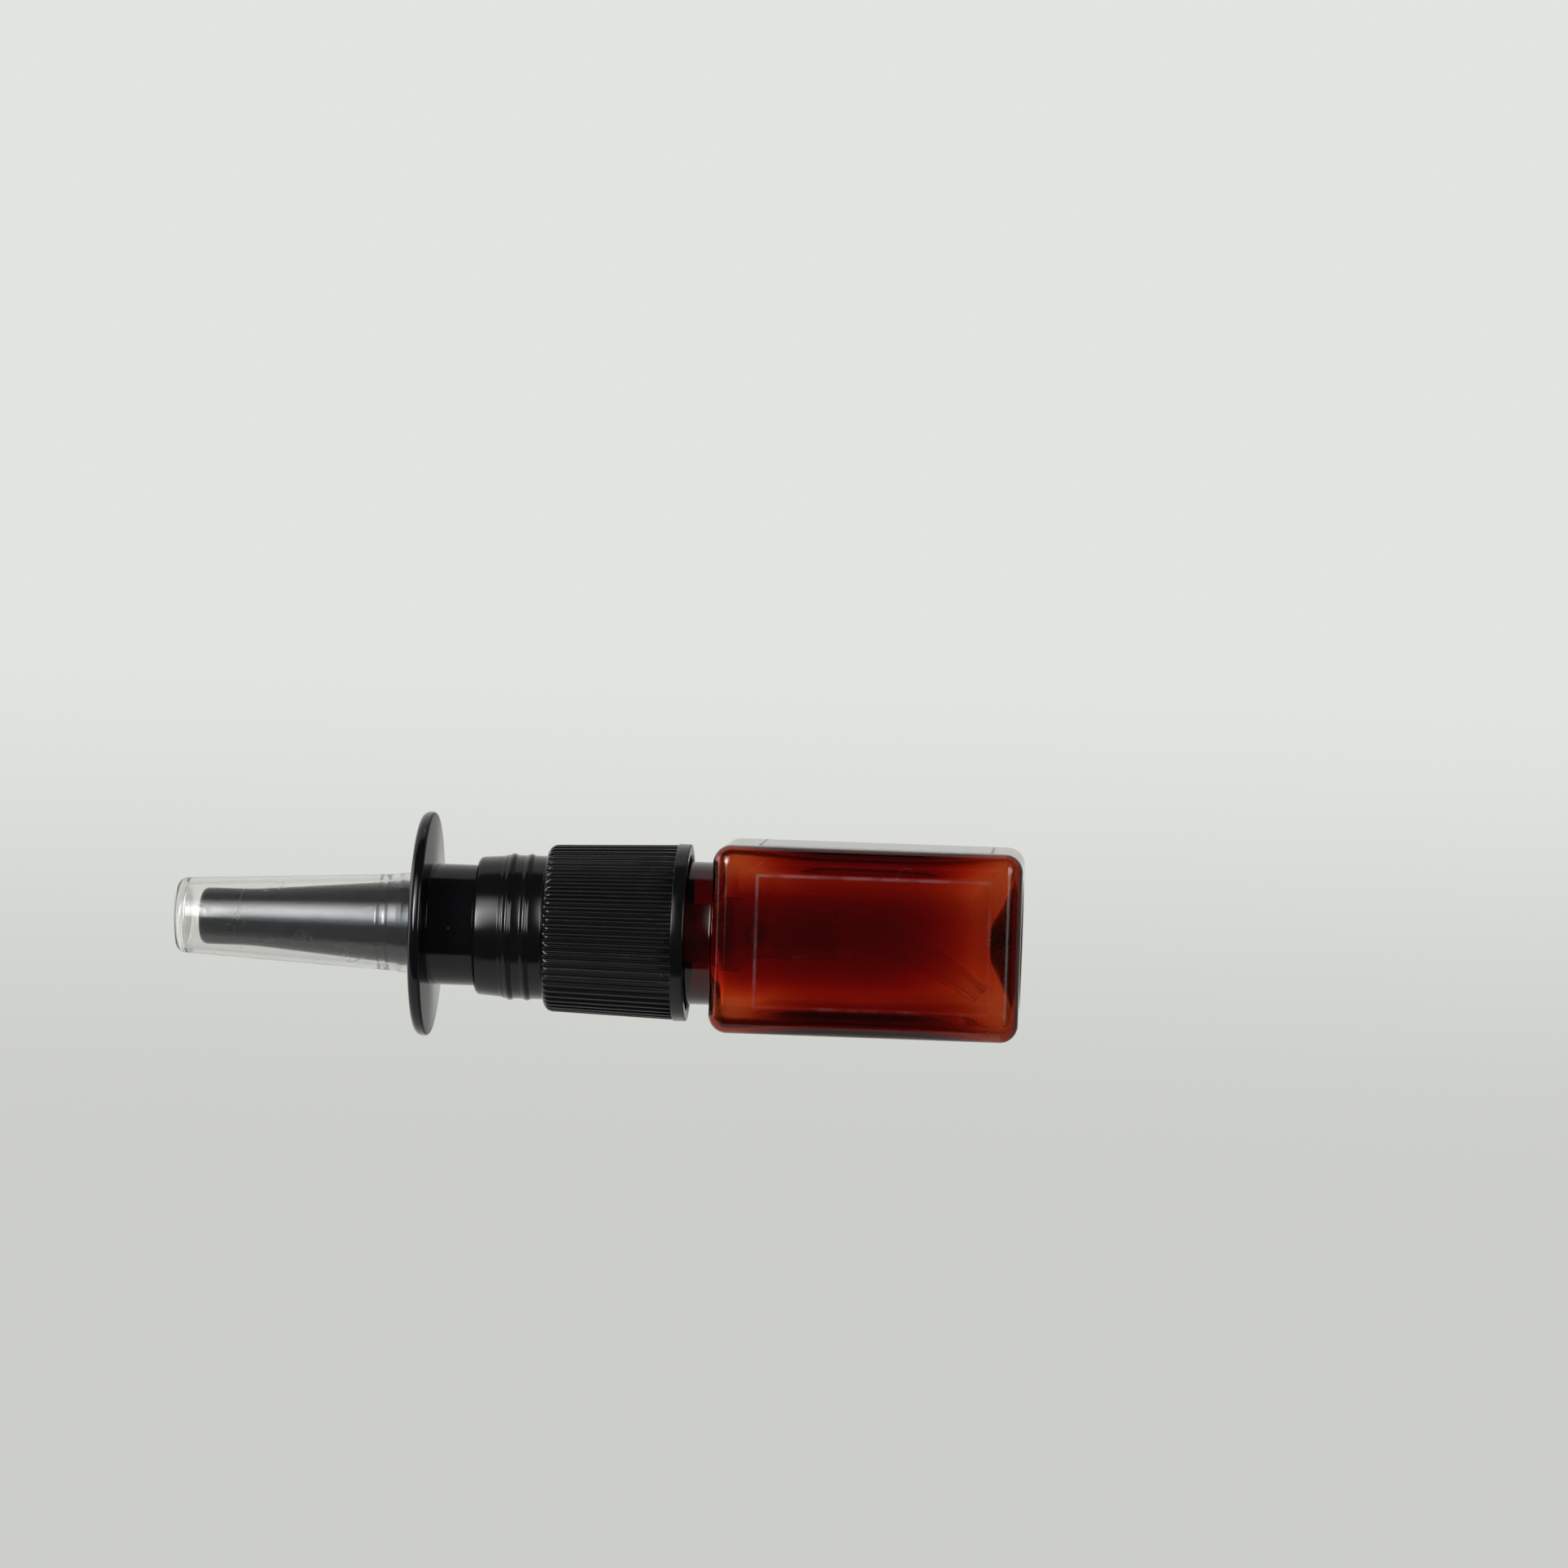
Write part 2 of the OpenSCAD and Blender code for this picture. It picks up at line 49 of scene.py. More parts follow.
# Bottle
HALF_WIDTH = 10.75
BODY_H = 35.3
EDGE_R = 2.1
FLAT_HALF = HALF_WIDTH - EDGE_R
THIN_WALL = 0.36
PANEL_HALF = 7.5
PANEL_LOW = 3.6
PANEL_HIGH = 30.1
PANEL_RISE = 0.035
PANEL_FOLLOW = 0.115
DOME_R = 7.4
DOME_H = 2.0
NECK_R = 8.25
NECK_BORE_R = 7.0
NECK_FILLET = 0.35
LIP_Z = 51.9
THREAD_PITCH = 3.175
THREAD_ROOT_W = 1.5
THREAD_CREST_W = 0.5

# Closure and turret
CLOSURE_LOW = 38.4
RIBS_LOW = 39.9
CLOSURE_TOP = 54.9
ROOF_LOW = 53.7
TURRET_TOP = 62.9
BAND_R = 10.25
RIB_LOW_R = 10.1
RIB_HIGH_R = 9.65
RIB_SOFTNESS = 0.03
CLOSURE_CORNER_R = 1.1
CLOSURE_BORE_R = 9.0
FLANGE_SEAT_R = 8.16
FLANGE_SEAT_LOW = 52.55
LIP_LAND_R = 7.9
LIP_LAND_LOW = 52.117
RIB_COUNT = 60
GROOVE_R = 0.4
GROOVE_DEPTH = 0.32
GROOVE_LEAN = 0.03
TURRET_R = 8.3
TURRET_BORE_R = 7.06
BEAD_RISE = 0.2
BEAD_HALF = 0.6

# Actuator and cap
SKIRT_LOW = 59.6
SKIRT_R = 7.0
SKIRT_BORE_R = 6.0
FINGER_LOW = 68.2
FINGER_TOP = 69.7
FINGER_R = 13.0
NOZZLE_R = 3.3
NOZZLE_TOP = 95.1
SPRAY_CHAMBER_TOP = 94.3
CAP_TOP = 97.9
CAP_END_LOW = 96.8

# Pump levels
FLANGE_LOW = 52.6
FLANGE_TOP = 53.65
RING_LOW = 48.05
STEM_TOP = 67.2
SPRING_LOW = 33.05
FOOT_LOW = 42.0
FOOT_TOP = 42.8
TAIL_LOW = 21.3
SOCKET_TOP = 28.6
BALL_Z = 30.736
BALL_R = 1.2


def rounded(corners, steps=6):
    """Profile through corners (radius, height, fillet). A fillet is the arc that touches both legs
    of its corner, fillet / tan(half the corner's angle) away from it."""
    points = np.array([c[:2] for c in corners], float)
    pieces = [points[:1]]
    for before, corner, after, data in zip(points[:-2], points[1:-1], points[2:], corners[1:-1]):
        fillet = data[2] if len(data) > 2 else 0
        if not fillet:
            pieces.append(corner[None])
            continue
        a = (before - corner) / np.linalg.norm(before - corner)
        b = (after - corner) / np.linalg.norm(after - corner)
        half = math.acos(float(np.clip(a @ b, -1, 1))) / 2
        reach = fillet / math.tan(half)
        centre = corner + (a + b) / np.linalg.norm(a + b) * fillet / math.sin(half)
        first, last = corner + a * reach - centre, corner + b * reach - centre
        turn = math.atan2(first[0] * last[1] - first[1] * last[0], float(first @ last))
        angle = math.atan2(first[1], first[0]) + turn * np.linspace(0, 1, steps + 1)
        pieces.append(centre + fillet * np.stack([np.cos(angle), np.sin(angle)], 1))
    pieces.append(points[-1:])
    return np.concatenate(pieces)


def refine(profile, longest):
    """Profile with every leg cut into equal parts no longer than the given length."""
    legs = np.linalg.norm(np.diff(profile, axis=0), axis=1)
    along = np.concatenate([[0], np.cumsum(legs)])
    parts = np.maximum(1, np.ceil(legs / longest)).astype(int)
    at = np.concatenate([np.linspace(a, b, n, endpoint=False)
                         for a, b, n in zip(along[:-1], along[1:], parts)] + [along[-1:]])
    return np.stack([np.interp(at, along, profile[:, 0]), np.interp(at, along, profile[:, 1])], 1)


def turned(profile, columns):
    """Surface of revolution: each profile point (r, z) goes round the axis as (r cos a, r sin a, z)."""
    angle = np.linspace(0, 2 * np.pi, columns, endpoint=False)
    r, z = profile[:, :1], profile[:, 1:]
    return np.stack([r * np.cos(angle), r * np.sin(angle), z + 0 * angle], -1)


def quarter_arc(steps):
    """Cosines and sines from 0 to 90 degrees in equal steps."""
    angle = np.radians(np.linspace(0, 90, steps + 1))
    return np.cos(angle), np.sin(angle)


def smooth_step(value, low, high):
    """0 below low, 1 above high, and 3 t^2 - 2 t^3 of the share t between them."""
    share = np.clip((value - low) / (high - low), 0, 1)
    return share * share * (3 - 2 * share)


def mesh_from_grid(name, grid, close_rows=False, sharp_deg=32):
    """Mesh of a grid of points (rows, columns, 3) that closes across its columns. Points that coincide
    become one, so a row on the axis is a pole, and cells that lose a side become triangles."""
    flat = np.round(grid.reshape(-1, 3), 6) + 0.0
    points, index = np.unique(flat, axis=0, return_inverse=True)
    index = index.reshape(grid.shape[:2])
    if close_rows:
        index = np.vstack([index, index[:1]])
    beside = np.roll(index, -1, axis=1)
    cells = np.stack([index[:-1], beside[:-1], beside[1:], index[1:]], -1).reshape(-1, 4)
    differs = cells != np.roll(cells, -1, axis=1)
    sides = differs.sum(1)
    three = sides == 3
    triangles = cells[three][differs[three]].reshape(-1, 3)
    mesh = bpy.data.meshes.new(name)
    mesh.from_pydata((points * MM).tolist(), [], cells[sides == 4].tolist() + triangles.tolist())
    mesh.polygons.foreach_set("use_smooth", np.ones(len(mesh.polygons), bool))
    mesh.set_sharp_from_angle(angle=math.radians(sharp_deg))
    mesh.validate()
    return mesh


def place(name, mesh, body, slot, material, *nodes):
    """Puts a mesh into the scene as one piece that rides on a body and stands for the named nodes."""
    piece = bpy.data.objects.new(name, mesh)
    bpy.context.scene.collection.objects.link(piece)
    mesh.materials.append(material)
    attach(piece, body)
    if nodes:
        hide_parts(*nodes)
    return piece


# Materials

FLOAT, VECTOR = "NodeSocketFloat", "NodeSocketVector"
PLASTIC_IOR = 1.49


def new_group(name, inputs, outputs):
    """Node group with named sockets: inputs and outputs are (name, socket type, default)."""
    group = bpy.data.node_groups.new(name, "ShaderNodeTree")
    for way, sockets in (("INPUT", inputs), ("OUTPUT", outputs)):
        for label, kind, default in sockets:
            socket = group.interface.new_socket(label, in_out=way, socket_type=kind)
            if default is not None:
                socket.default_value = default
    return group, group.nodes.new("NodeGroupInput"), group.nodes.new("NodeGroupOutput")


def feed(tree, made, inputs):
    """Sets each named socket of a node to a value, or links it to another node's output."""
    for key, value in inputs.items():
        if isinstance(value, bpy.types.NodeSocket):
            tree.links.new(value, made.inputs[key])
        else:
            made.inputs[key].default_value = value


def node(tree, kind, inputs=None, **settings):
    """One node with its settings and its inputs."""
    made = tree.nodes.new(kind)
    for key, value in settings.items():
        setattr(made, key, value)
    feed(tree, made, inputs or {})
    return made


def use_group(tree, group, inputs):
    return node(tree, "ShaderNodeGroup", inputs, node_tree=group)


def maths(tree, operation, a, b=0.0, clamp=False):
    return node(tree, "ShaderNodeMath", {0: a, 1: b}, operation=operation, use_clamp=clamp).outputs[0]


def ramp_between(tree, value, low, high):
    """Smooth step: 0 below low, 1 above high."""
    made = node(tree, "ShaderNodeMapRange", {0: value, 1: low, 2: high}, interpolation_type="SMOOTHSTEP")
    return made.outputs[0]


def noise(tree, where, scale, **more):
    """Noise over a place, with its other sockets named in lower case."""
    inputs = {"Vector": where, "Scale": scale, **{key.title(): value for key, value in more.items()}}
    return node(tree, "ShaderNodeTexNoise", inputs).outputs[0]


def mixed_colour(tree, share, first, second):
    """Colour between two; each is red, green and blue, or another node's output."""
    ends = [end if isinstance(end, bpy.types.NodeSocket) else (*end, 1) for end in (first, second)]
    made = node(tree, "ShaderNodeMix", {"Factor": share, "A": ends[0], "B": ends[1]}, data_type="RGBA")
    return made.outputs["Result"]


def make_moulding_group():
    """Moulded skin: fine grain and slow waviness as a height, and a roughness that drifts with them."""
    group, given, out = new_group(
        "moulded_skin",
        [("Vector", VECTOR, None), ("Roughness", FLOAT, 0.2), ("Drift", FLOAT, 0.05),
         ("Grain Size", FLOAT, 9000.0)],
        [("Roughness", FLOAT, None), ("Height", FLOAT, None), ("Waves", FLOAT, None)])
    where = given.outputs["Vector"]
    grain = noise(group, where, given.outputs["Grain Size"], detail=3.0, roughness=0.6)
    waves = noise(group, where, 260.0, detail=2.0, roughness=0.5)
    drift = maths(group, "SUBTRACT", waves, 0.5)
    drift = maths(group, "MULTIPLY", drift, given.outputs["Drift"])
    height = maths(group, "MULTIPLY", waves, 0.5)
    height = maths(group, "ADD", height, maths(group, "MULTIPLY", grain, 0.5))
    feed(group, out, {"Roughness": maths(group, "ADD", given.outputs["Roughness"], drift, True),
                      "Height": height, "Waves": waves})
    return group


def make_scuff_group():
    """Handling marks: thin bent lines where a warped wave field crosses its middle, and sparse specks."""
    group, given, out = new_group(
        "handling_scuffs",
        [("Vector", VECTOR, None), ("Scale", FLOAT, 120.0), ("Line Width", FLOAT, 0.012)],
        [("Scratches", FLOAT, None), ("Specks", FLOAT, None)])
    where = given.outputs["Vector"]
    field = noise(group, where, given.outputs["Scale"], detail=1.0, distortion=1.4)
    from_middle = maths(group, "ABSOLUTE", maths(group, "SUBTRACT", field, 0.5))
    widths = maths(group, "DIVIDE", from_middle, given.outputs["Line Width"])
    line = maths(group, "SUBTRACT", 1.0, widths, True)
    patches = ramp_between(group, noise(group, where, 330.0, detail=2.0), 0.52, 0.64)
    dots = node(group, "ShaderNodeTexVoronoi", {"Vector": where, "Scale": 900.0})
    near = maths(group, "SUBTRACT", 1.0, ramp_between(group, dots.outputs["Distance"], 0.05, 0.11))
    chance = node(group, "ShaderNodeSeparateColor", {0: dots.outputs["Color"]})
    few = maths(group, "GREATER_THAN", chance.outputs[0], 0.93)
    feed(group, out, {"Scratches": maths(group, "MULTIPLY", line, patches),
                      "Specks": maths(group, "MULTIPLY", near, few)})
    return group


MOULDED = make_moulding_group()
SCUFFS = make_scuff_group()


def start_material(name):
    """New material: its node tree, its Principled shader and the place on the piece."""
    material = bpy.data.materials.new(name)
    material.use_nodes = True
    tree = material.node_tree
    where = tree.nodes.new("ShaderNodeTexCoord").outputs["Object"]
    return material, tree, tree.nodes["Principled BSDF"], where


def shaded(colour, share):
    return tuple(c * share for c in colour)


def scuffed(tree, skin, marks, wear):
    """Roughness of the moulded skin, raised along the scratches."""
    raised = maths(tree, "MULTIPLY", marks.outputs["Scratches"], wear)
    return maths(tree, "ADD", skin.outputs["Roughness"], raised, True)


def dusted(tree, tone, marks, specks, dust):
    """A colour with some of the dust's colour in the specks."""
    return mixed_colour(tree, maths(tree, "MULTIPLY", marks.outputs["Specks"], specks), tone, dust)


def bump_into(tree, shader, height, distance, strength):
    bump = node(tree, "ShaderNodeBump", {"Height": height, "Distance": distance, "Strength": strength})
    feed(tree, shader, {"Normal": bump.outputs[0]})


def moulded_plastic(name, colour, roughness, drift=0.06, specks=0.0, bump=0.08, wear=0.25):
    """Opaque moulded plastic: one colour with slow variation, skin grain, light scuffs and a few specks."""
    material, tree, shader, where = start_material(name)
    skin = use_group(tree, MOULDED, {"Vector": where, "Roughness": roughness, "Drift": drift})
    marks = use_group(tree, SCUFFS, {"Vector": where})
    tone = mixed_colour(tree, skin.outputs["Height"], shaded(colour, 0.85), shaded(colour, 1.15))
    feed(tree, shader, {"Base Color": dusted(tree, tone, marks, specks, (0.35, 0.35, 0.34)),
                        "Roughness": scuffed(tree, skin, marks, wear), "IOR": PLASTIC_IOR})
    bump_into(tree, shader, skin.outputs["Height"], 0.00004, bump)
    return material


def closure_black():
    """Black closure: a little duller on the ribs than on the band, roof and turret, told apart by height."""
    material, tree, shader, where = start_material("black_closure_plastic")
    height = node(tree, "ShaderNodeSeparateXYZ", {0: where}).outputs[2]
    above = ramp_between(tree, height, (RIBS_LOW - 0.05) * MM, (RIBS_LOW + 0.05) * MM)
    past = ramp_between(tree, height, (CLOSURE_TOP - 0.35) * MM, (CLOSURE_TOP - 0.05) * MM)
    ribs = maths(tree, "MULTIPLY", above, maths(tree, "SUBTRACT", 1.0, past))
    base_rough = maths(tree, "ADD", 0.15, maths(tree, "MULTIPLY", ribs, 0.03))
    skin = use_group(tree, MOULDED, {"Vector": where, "Roughness": base_rough, "Drift": 0.1})
    marks = use_group(tree, SCUFFS, {"Vector": where, "Scale": 150.0})
    tone = mixed_colour(tree, skin.outputs["Height"], (0.002, 0.002, 0.0022), (0.0045, 0.0046, 0.005))
    feed(tree, shader, {"Base Color": dusted(tree, tone, marks, 0.3, (0.2, 0.2, 0.2)),
                        "Roughness": scuffed(tree, skin, marks, 0.08), "IOR": PLASTIC_IOR})
    bump_into(tree, shader, skin.outputs["Height"], 0.00005, 0.04)
    return material


def amber_plastic():
    """Clear amber: light is absorbed along its way through the wall, so thick and edge-on plastic is deep
    red and thin plastic orange. The skin has slow waves, fine scratches and a faint bloom, and is duller
    in patches along the step round each panel."""
    material, tree, shader, where = start_material("amber_bottle_plastic")
    skin = use_group(tree, MOULDED, {"Vector": where, "Roughness": 0.02, "Drift": 0.03})
    marks = use_group(tree, SCUFFS, {"Vector": where, "Scale": 90.0})
    bloom = mixed_colour(tree, skin.outputs["Height"], (1.0, 0.97, 0.94), (0.94, 0.9, 0.86))
    worn = node(tree, "ShaderNodeAttribute", attribute_name="worn_step").outputs["Fac"]
    patches = ramp_between(tree, skin.outputs["Waves"], 0.38, 0.66)
    dull = maths(tree, "ADD", maths(tree, "MULTIPLY", patches, 0.16), 0.18)
    rough = scuffed(tree, skin, marks, 0.12)
    rough = maths(tree, "ADD", rough, maths(tree, "MULTIPLY", worn, dull), True)
    feed(tree, shader, {"Base Color": bloom, "Roughness": rough, "Transmission Weight": 1.0, "IOR": 1.55})
    bump_into(tree, shader, skin.outputs["Waves"], 0.0001, 0.1)
    inside = node(tree, "ShaderNodeVolumeAbsorption", {"Color": (0.82, 0.35, 0.02, 1), "Density": 5900.0})
    feed(tree, tree.nodes["Material Output"], {"Volume": inside.outputs[0]})
    return material


def clear_plastic():
    """Clear cap: slightly milky, with fine scratches and a faint waviness of the wall."""
    material, tree, shader, where = start_material("clear_cap_plastic")
    skin = use_group(tree, MOULDED, {"Vector": where, "Roughness": 0.05, "Drift": 0.05})
    marks = use_group(tree, SCUFFS, {"Vector": where, "Scale": 160.0, "Line Width": 0.02})
    tone = mixed_colour(tree, marks.outputs["Scratches"], (0.955, 0.95, 0.935), (0.99, 0.985, 0.975))
    feed(tree, shader, {"Base Color": tone, "Roughness": scuffed(tree, skin, marks, 0.3),
                        "Transmission Weight": 0.98, "IOR": PLASTIC_IOR})
    bump_into(tree, shader, skin.outputs["Waves"], 0.00005, 0.1)
    return material


def milky_plastic(name, colour, ior, roughness, passes):
    """Unpigmented pump plastic: light passes through it and is scattered, so it glows with what is behind."""
    material, tree, shader, where = start_material(name)
    skin = use_group(tree, MOULDED, {"Vector": where, "Roughness": roughness, "Drift": 0.1})
    tone = mixed_colour(tree, skin.outputs["Height"], shaded(colour, 0.95), colour)
    feed(tree, shader, {"Base Color": tone, "Roughness": skin.outputs["Roughness"],
                        "Transmission Weight": passes, "IOR": ior})
    bump_into(tree, shader, skin.outputs["Height"], 0.00003, 0.1)
    return material


def steel(name, colour, roughness, brushed):
    """Bare steel: fine drawn marks as grain and drift on a metal base."""
    material, tree, shader, where = start_material(name)
    skin = use_group(tree, MOULDED, {"Vector": where, "Roughness": roughness, "Drift": 0.12,
                                     "Grain Size": 4000.0})
    tone = mixed_colour(tree, skin.outputs["Height"], shaded(colour, 0.8), colour)
    feed(tree, shader, {"Base Color": tone, "Roughness": skin.outputs["Roughness"], "Metallic": 1.0})
    bump_into(tree, shader, skin.outputs["Height"], 0.00002, brushed)
    return material


AMBER = amber_plastic()
CLOSURE_BLACK = closure_black()
GLOSS_BLACK = moulded_plastic("black_actuator_plastic", (0.003, 0.0031, 0.0035), 0.09, specks=0.25, wear=0.15)
CLEAR = clear_plastic()
NATURAL = milky_plastic("natural_pump_plastic", (0.995, 0.99, 0.98), 1.2, 0.9, 0.97)
WHITE = moulded_plastic("white_pump_plastic", (0.8, 0.8, 0.78), 0.3, bump=0.12)
TUBE = milky_plastic("dip_tube_plastic", (0.995, 0.995, 0.99), 1.06, 0.4, 0.95)
GASKET = moulded_plastic("gasket_foam", (0.76, 0.75, 0.72), 0.75, drift=0.2, bump=0.6)
SPRING_STEEL = steel("spring_wire_steel", (0.62, 0.63, 0.65), 0.28, 0.4)
BALL_STEEL = steel("polished_ball_steel", (0.74, 0.75, 0.77), 0.08, 0.05)


# Bottle

def square_ring(side, corner_steps=16):
    """One turn round a square of half-width 1: the core point on the square, the outward normal and how
    far along its side, -1 to 1, the point is. Along a side the core point moves through the given stops
    and the normal rests; at a corner the core point rests and the normal turns."""
    t = np.concatenate([side, np.ones(corner_steps)])
    turn = np.linspace(0, np.pi / 2, corner_steps, endpoint=False)
    turn = np.concatenate([np.zeros(len(side)), turn])
    core, normal = [], []
    for quarter in range(4):
        a = quarter * np.pi / 2
        core.append(np.stack([np.cos(a) - t * np.sin(a), np.sin(a) + t * np.cos(a)], 1))
        normal.append(np.stack([np.cos(a + turn), np.sin(a + turn)], 1))
    return np.concatenate(core), np.concatenate(normal), np.tile(t, 4)


def inside_panel(across, up):
    """How far a point of a side, given across it and up it, lies inside the edge of the flat panel."""
    return np.minimum(PANEL_HALF - across, np.minimum(up - PANEL_LOW, PANEL_HIGH - up))


def bottle_shell():
    """Outer and inner wall as one closed skin. A body row is the square core pushed out along its normals
    by an offset, and a neck or dome row is a circle. Rows run from the middle of the base out and up the
    outside, over the lip, and back down the inside. A smooth step raises the panel of each side."""
    step_stops = np.linspace(-0.4, 0.4, 7)
    at_panel = (PANEL_HALF + step_stops) / FLAT_HALF
    stops = np.concatenate([np.linspace(-1, 1, 30, endpoint=False), at_panel, -at_panel])
    core, normal, along = square_ring(np.sort(stops))
    across = np.abs(along)[None] * FLAT_HALF
    body = core * FLAT_HALF + normal * EDGE_R
    polar = np.arctan2(body[:, 1], body[:, 0])
    circle = np.stack([np.cos(polar), np.sin(polar)], 1)
    rows = []

    def add_rows(flat, heights):
        tall = np.broadcast_to(heights[:, None, None], (*flat.shape[:2], 1))
        rows.append(np.concatenate([flat, tall], -1))

    def square_rows(offsets, heights):
        """Rows of the square core, with one offset a row or one a point."""
        if offsets.ndim == 1:
            offsets = offsets[:, None]
        add_rows(FLAT_HALF * core[None] + offsets[..., None] * normal[None], heights)

    def round_rows(profile):
        add_rows(profile[:, :1, None] * circle[None], profile[:, 1])

    def wall_at(heights):
        """Thickness of the wall, mixed across each side from a middle line to a thin line near the edge.
        The middle line swells from the base up, and towards the edges, half-way up the body, the wall
        swells again. Behind the raised panel the inside follows it out by a wide smooth step."""
        up = heights[:, None]
        middle = THIN_WALL + 0.1 + 0.85 * smooth_step(up, 1.0, 17.0) - 0.2 * smooth_step(up, 24.0, 33.0)
        half_way = smooth_step(up, 2.0, 13.0) * smooth_step(-up, -33.0, -22.0)
        thin = THIN_WALL + 0.3 * half_way
        mixed = thin + (middle - thin) * smooth_step(-across, -7.7, -0.9)
        followed = PANEL_FOLLOW * smooth_step(inside_panel(across, up), -0.5, 2.5)
        return mixed + 0.5 * half_way * smooth_step(across, 7.5, 9.3) - followed

    # Outside: the dome is the cap of a ball of radius (r^2 + h^2) / 2h.
    ball = (DOME_R ** 2 + DOME_H ** 2) / (2 * DOME_H)
    r = np.linspace(0, DOME_R - 0.9, 22)
    dome = np.stack([r, DOME_H - ball + np.sqrt(ball ** 2 - r ** 2)], 1)
    dome_rim = rounded([tuple(dome[-1]), (DOME_R, 0, 0.7), (DOME_R + 0.45, 0)])[1:]
    round_rows(np.concatenate([dome, dome_rim]))
    c, s = quarter_arc(24)
    square_rows(EDGE_R * s, EDGE_R * (1 - c))
    heights = np.concatenate([[PANEL_LOW - 0.8], PANEL_LOW + step_stops, np.linspace(6, 28, 8),
                              PANEL_HIGH + step_stops, [PANEL_HIGH + 1.5]])
    raised = PANEL_RISE * smooth_step(inside_panel(across, heights[:, None]), -0.3, 0.3)
    square_rows(EDGE_R + raised, heights)
    square_rows(EDGE_R * c, BODY_H - EDGE_R + EDGE_R * s)
    ceiling = BODY_H - THIN_WALL
    lip = rounded([(NECK_R + NECK_FILLET + 0.04, BODY_H), (NECK_R, BODY_H, NECK_FILLET),
                   (NECK_R, LIP_Z, 0.3), (NECK_BORE_R, LIP_Z, 0.3), (NECK_BORE_R, ceiling, 0.35),
                   (NECK_BORE_R + 0.7, ceiling)])
    round_rows(refine(lip, 2.0))
    # Inside
    heights = BODY_H - EDGE_R + (EDGE_R - THIN_WALL) * c
    square_rows((EDGE_R - wall_at(heights)) * s[:, None], heights)
    heights = np.linspace(BODY_H - EDGE_R, EDGE_R, 80)[1:-1]
    square_rows(EDGE_R - wall_at(heights), heights)
    heights = EDGE_R - (EDGE_R - THIN_WALL) * s
    square_rows((EDGE_R - wall_at(heights)) * c[:, None], heights)
    push_up = rounded([(8.5, THIN_WALL), (7.9, THIN_WALL, 1.2), (1.5, 4.0, 3.6), (0.0, 4.0)], 10)
    round_rows(refine(push_up, 0.6))
    return np.concatenate(rows)


def thread_ridge(root_r, crest_r, low, turns):
    """Screw thread: a four-cornered section carried up a helix, one pitch a turn. Its height and width
    shrink to nothing over the first and last eighth of a turn."""
    angle = np.linspace(0, turns * 2 * np.pi, int(turns * 72) + 1)
    fade = np.clip(np.minimum(angle, angle[-1] - angle) / (np.pi / 4), 0.0, 1.0)
    fade = np.sqrt(fade * (2 - fade))
    root = np.full_like(angle, root_r)
    crest = root_r + (crest_r - root_r) * fade
    radius = np.stack([root, crest, crest, root], 1)
    widths = np.array([-THREAD_ROOT_W, -THREAD_CREST_W, THREAD_CREST_W, THREAD_ROOT_W])
    shift = widths * fade[:, None] / 2
    height = low + THREAD_PITCH * angle[:, None] / (2 * np.pi) + shift
    return np.stack([radius * np.cos(angle[:, None]), radius * np.sin(angle[:, None]), height], -1)


def mark_panel_step(mesh):
    """Stores how worn each point is: 1 on the step round a side's panel, falling to 0 a little way off it."""
    spots = np.empty(len(mesh.vertices) * 3)
    mesh.vertices.foreach_get("co", spots)
    spots = np.abs(spots.reshape(-1, 3) / MM)
    out, across = np.maximum(spots[:, 0], spots[:, 1]), np.minimum(spots[:, 0], spots[:, 1])
    off_edge = np.abs(inside_panel(across, spots[:, 2]))
    worn = (out > HALF_WIDTH - 0.2) * smooth_step(-off_edge, -0.3, -0.05)
    mesh.attributes.new("worn_step", "FLOAT", "POINT").data.foreach_set("value", worn)
    return mesh


place("bottle_shell", mark_panel_step(mesh_from_grid("bottle_shell", bottle_shell(), sharp_deg=40)),
      "bottle", "amber_plastic", AMBER, "bottle")
neck_ridge = thread_ridge(NECK_R - 0.05, 8.85, 45.6, 1.5)[:, ::-1]
place("neck_thread", mesh_from_grid("neck_thread", neck_ridge), "bottle", "amber_plastic", AMBER)


# Closure

